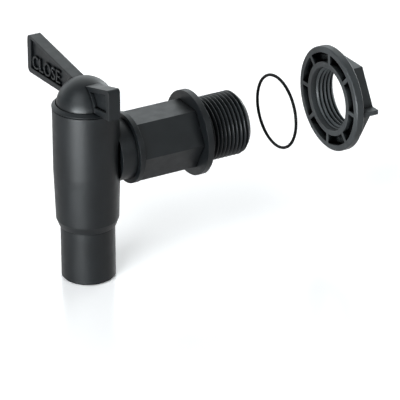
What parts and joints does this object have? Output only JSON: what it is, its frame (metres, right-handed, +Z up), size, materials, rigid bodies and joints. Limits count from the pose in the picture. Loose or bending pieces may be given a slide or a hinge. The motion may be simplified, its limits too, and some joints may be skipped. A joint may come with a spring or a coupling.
{
  "type": "jerrycan tap",
  "caption": "Lever-operated plug tap for a jerrycan or drum: vertical sleeve with spout, side inlet with hexagon, flange and pipe thread, flange seal and back nut.",
  "frame": {"origin": "centre of the inlet flange's sealing face, on the inlet's axis", "axes": "+X along the inlet towards the can, +Z up along the turning plug, +Y along the closed handle's long paddle"},
  "size_m": [0.137, 0.0693, 0.0896],
  "materials": {
    "black_plastic": "satin moulded black plastic",
    "handle_plastic": "satin moulded black plastic",
    "seal_rubber": "smooth black rubber",
    "ring_rubber": "smooth black rubber",
    "nut_plastic": "matte moulded dark grey plastic"
  },
  "bodies": {
    "tap": {"tap_body": "black_plastic"},
    "handle": {"handle_plug": "handle_plastic", "upper_plug_seal": "seal_rubber", "lower_plug_seal": "seal_rubber"},
    "seal": {"flange_ring": "ring_rubber"},
    "nut": {"back_nut": "nut_plastic"}
  },
  "joints": [
    {"name": "handle_turn", "type": "hinge", "parent": "tap", "child": "handle", "pos_m": [-0.0484, 0, 0], "axis": [0, 0, 1], "range_deg": [0, 90]},
    {"name": "seal_slide", "type": "slide", "parent": "tap", "child": "seal", "axis": [1, 0, 0], "range_m": [-0.0388, 0]},
    {"name": "nut_slide", "type": "slide", "parent": "seal", "child": "nut", "axis": [1, 0, 0], "range_m": [-0.0239, 0]}
  ]
}
